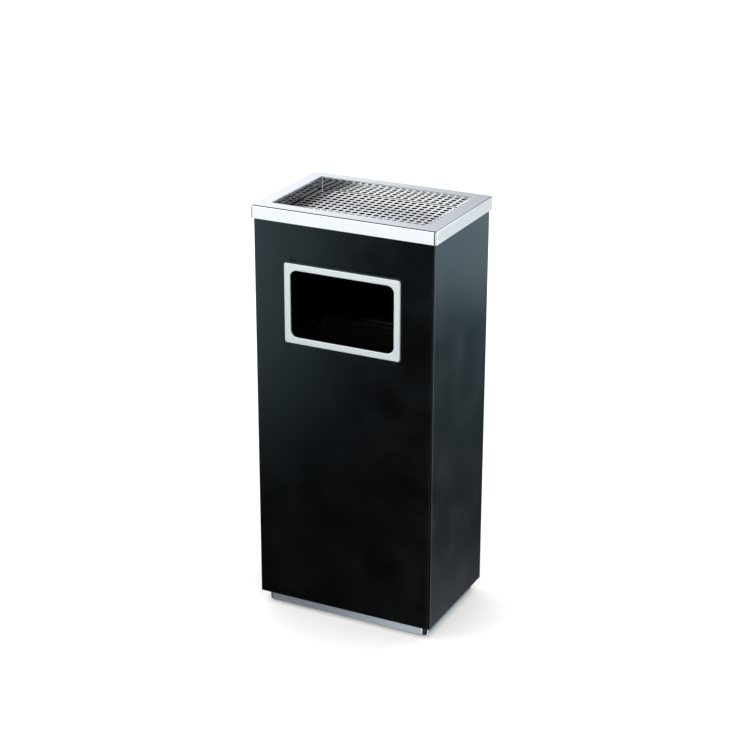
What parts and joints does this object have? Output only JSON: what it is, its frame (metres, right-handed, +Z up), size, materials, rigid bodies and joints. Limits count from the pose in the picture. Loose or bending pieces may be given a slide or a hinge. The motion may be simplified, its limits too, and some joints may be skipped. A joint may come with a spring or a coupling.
{
  "type": "ashtray bin",
  "caption": "Rectangular sheet-steel litter bin with a front mouth, a lift-off ashtray top with a lift-out grate, and an inner liner with a swinging bail.",
  "frame": {"origin": "on the floor, under the middle of the bin", "axes": "+Z up, -Y towards the front with the mouth, +X to the right as seen from the front"},
  "size_m": [0.28, 0.19, 0.61],
  "materials": {
    "black_paint": "semi-gloss black stoved paint",
    "polished_stainless": "mirror-polished stainless steel",
    "satin_stainless": "fine satin stainless steel",
    "black_powder_coat": "matt black powder coat",
    "zinc_steel": "bright zinc-plated steel",
    "bail_steel": "drawn steel wire, blackened",
    "foot_rubber": "moulded black rubber",
    "grip_plastic": "moulded black plastic"
  },
  "bodies": {
    "cabinet": {"body_shell": "black_paint", "back_seam_strip": "black_paint", "seam_rivets": "zinc_steel", "top_frame": "black_paint", "base_pan": "black_paint", "plinth_band": "polished_stainless", "plinth_rivets": "zinc_steel", "foot_front_left": "foot_rubber", "foot_front_right": "foot_rubber", "foot_back_right": "foot_rubber", "foot_back_left": "foot_rubber", "foot_screws": "zinc_steel", "foot_washers": "zinc_steel", "foot_nuts": "zinc_steel", "opening_trim": "satin_stainless", "trim_studs": "zinc_steel", "trim_backing_frame": "zinc_steel", "trim_nuts": "zinc_steel"},
    "ash_tray": {"tray_rim": "polished_stainless", "ash_basin": "polished_stainless", "grate_ledges": "polished_stainless"},
    "grate": {"grate_plate": "polished_stainless"},
    "liner": {"liner_body": "black_powder_coat", "liner_floor": "black_powder_coat", "liner_rim_wire": "zinc_steel", "bail_ear_left": "black_powder_coat", "bail_ear_right": "black_powder_coat", "ear_rivets": "zinc_steel"},
    "bail": {"bail_wire": "bail_steel", "bail_grip": "grip_plastic"}
  },
  "joints": [
    {"name": "tray_lift", "type": "slide", "parent": "cabinet", "child": "ash_tray", "axis": [0, 0, 1], "range_m": [0, 0.08]},
    {"name": "grate_lift", "type": "slide", "parent": "ash_tray", "child": "grate", "axis": [0, 0, 1], "range_m": [0, 0.04]},
    {"name": "liner_lift", "type": "slide", "parent": "cabinet", "child": "liner", "axis": [0, 0, 1], "range_m": [0, 0.14]},
    {"name": "bail_swing", "type": "hinge", "parent": "liner", "child": "bail", "pos_m": [0, 0, 0.3875], "axis": [1, 0, 0], "range_deg": [0, 155.5]}
  ]
}
